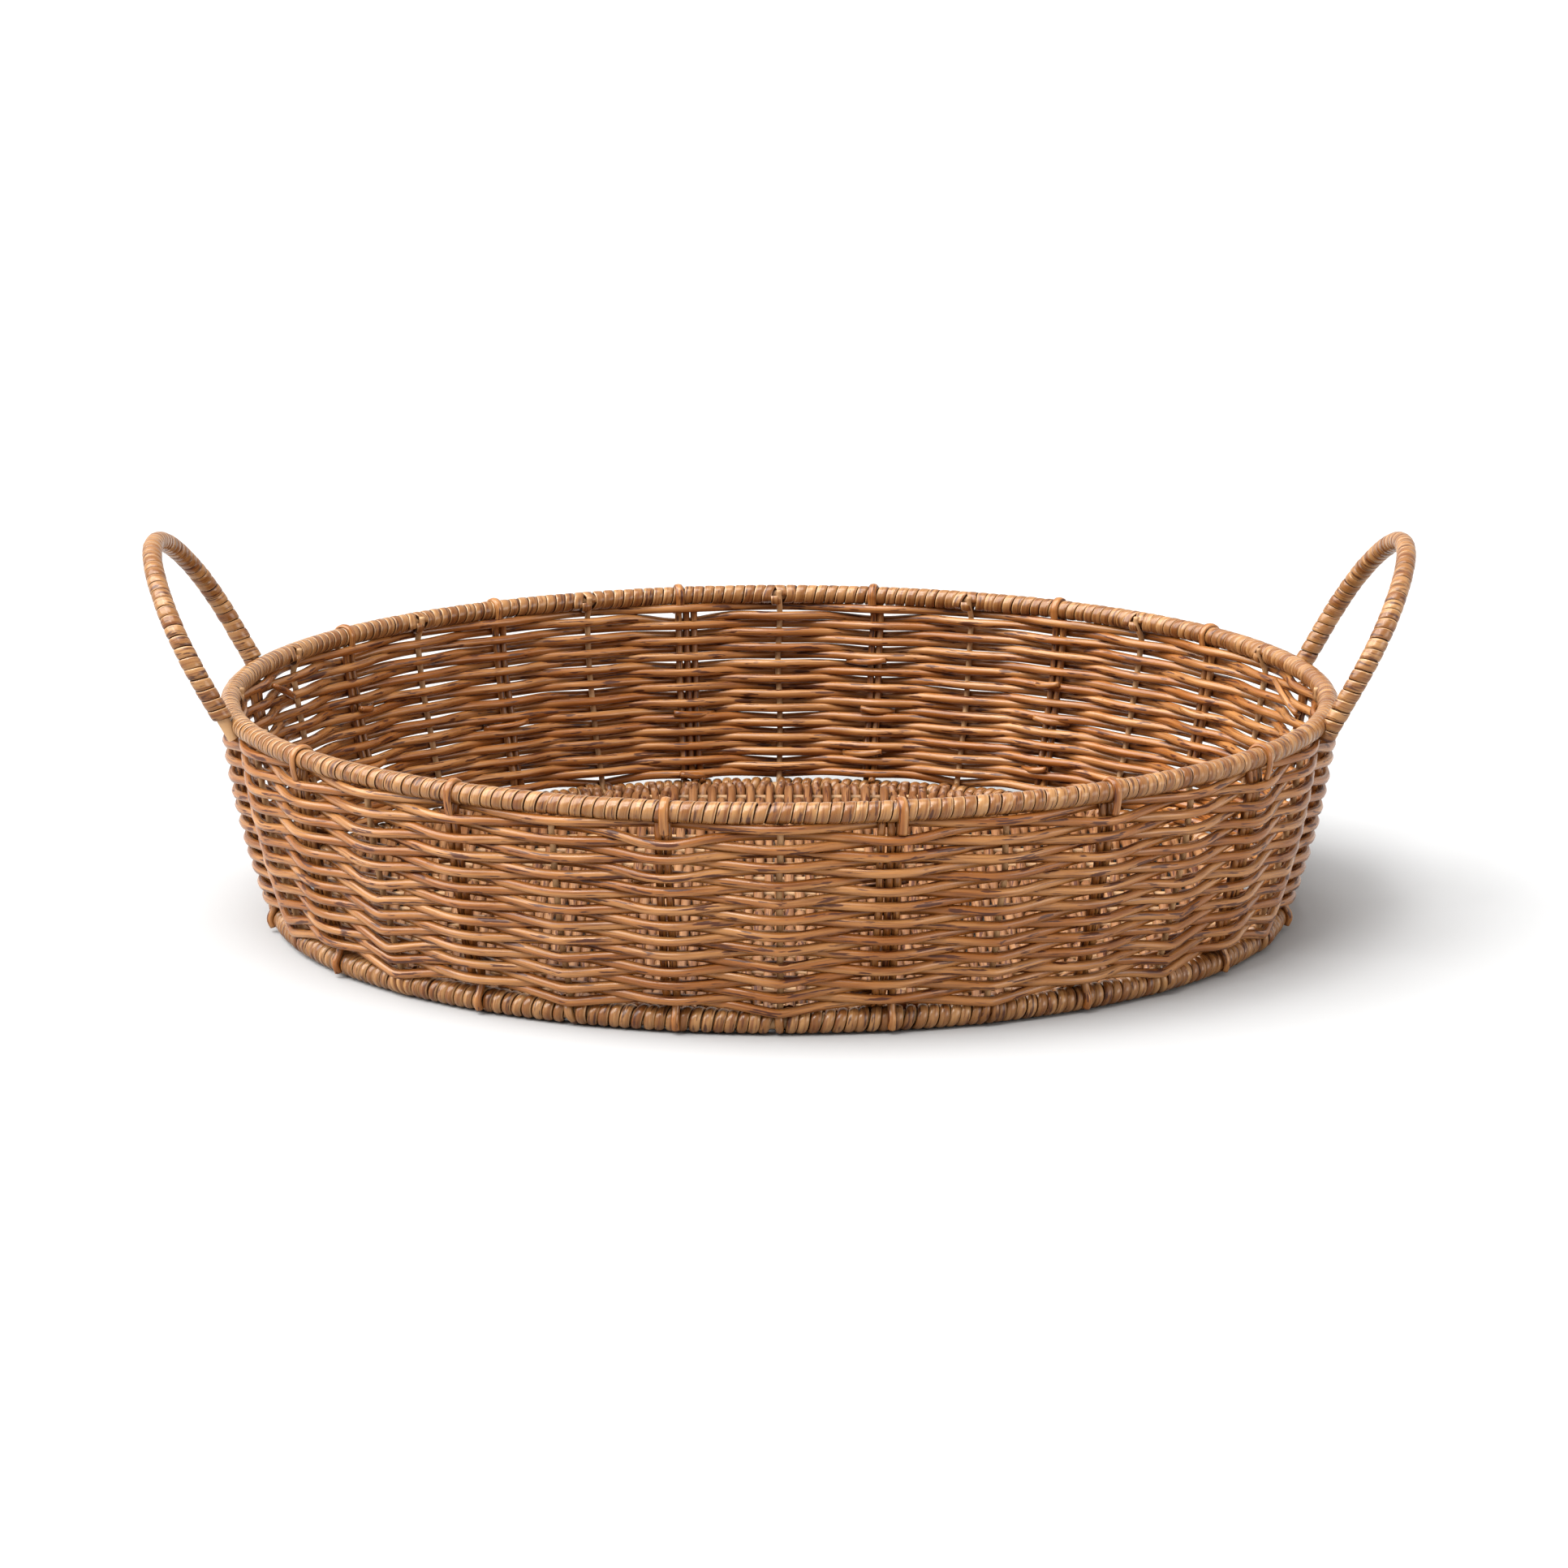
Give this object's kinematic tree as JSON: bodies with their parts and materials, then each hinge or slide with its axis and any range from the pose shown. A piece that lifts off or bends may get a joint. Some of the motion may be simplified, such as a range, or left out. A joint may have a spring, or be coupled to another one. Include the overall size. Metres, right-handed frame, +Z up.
{
  "type": "woven wicker basket",
  "caption": "Round shallow woven wicker tray basket on a wire frame, with a wrapped rim and two fixed wrapped loop handles.",
  "frame": {"origin": "centre of the ground circle, on the surface that the basket stands on", "axes": "+Z up, the handles stand at +X and -X, the basket is symmetric front to back and left to right"},
  "size_m": [0.5192, 0.4582, 0.1561],
  "materials": {
    "iron_wire": "matte brown paint on round iron wire",
    "rattan_rod": "honey-brown round rod with fine lengthways grain and dark reddish flecks",
    "rattan_strip": "honey-brown flat strip, slightly glossy face, paler cut edges"
  },
  "bodies": {
    "root": {"base_ring": "iron_wire", "base_ties": "rattan_strip", "base_wrap": "rattan_strip", "floor_bars": "iron_wire", "floor_weave": "rattan_rod", "handle_wire_left": "iron_wire", "handle_wire_right": "iron_wire", "handle_wrap_left": "rattan_strip", "handle_wrap_right": "rattan_strip", "rib_wire_01": "iron_wire", "rib_wire_02": "iron_wire", "rib_wire_03": "iron_wire", "rib_wire_04": "iron_wire", "rib_wire_05": "iron_wire", "rib_wire_06": "iron_wire", "rib_wire_07": "iron_wire", "rib_wire_08": "iron_wire", "rib_wire_09": "iron_wire", "rib_wire_10": "iron_wire", "rib_wire_11": "iron_wire", "rib_wire_12": "iron_wire", "rib_wire_13": "iron_wire", "rib_wire_14": "iron_wire", "rib_wire_15": "iron_wire", "rib_wire_16": "iron_wire", "rim_ring": "iron_wire", "rim_ties": "rattan_strip", "rim_wrap": "rattan_strip", "stake_pairs_front": "rattan_rod", "stake_pairs_left": "rattan_rod", "stake_pairs_rear": "rattan_rod", "stake_pairs_right": "rattan_rod", "weaver_01": "rattan_rod", "weaver_02": "rattan_rod", "weaver_03": "rattan_rod", "weaver_04": "rattan_rod", "weaver_05": "rattan_rod", "weaver_06": "rattan_rod", "weaver_07": "rattan_rod", "weaver_08": "rattan_rod", "weaver_09": "rattan_rod", "weaver_10": "rattan_rod", "weaver_11": "rattan_rod", "weaver_12": "rattan_rod", "weaver_13": "rattan_rod", "weaver_14": "rattan_rod", "weaver_15": "rattan_rod", "weaver_16": "rattan_rod", "weaver_17": "rattan_rod", "weaver_18": "rattan_rod", "weaver_19": "rattan_rod", "weaver_20": "rattan_rod", "weaver_21": "rattan_rod", "weaver_22": "rattan_rod", "weaver_23": "rattan_rod"}
  },
  "joints": []
}
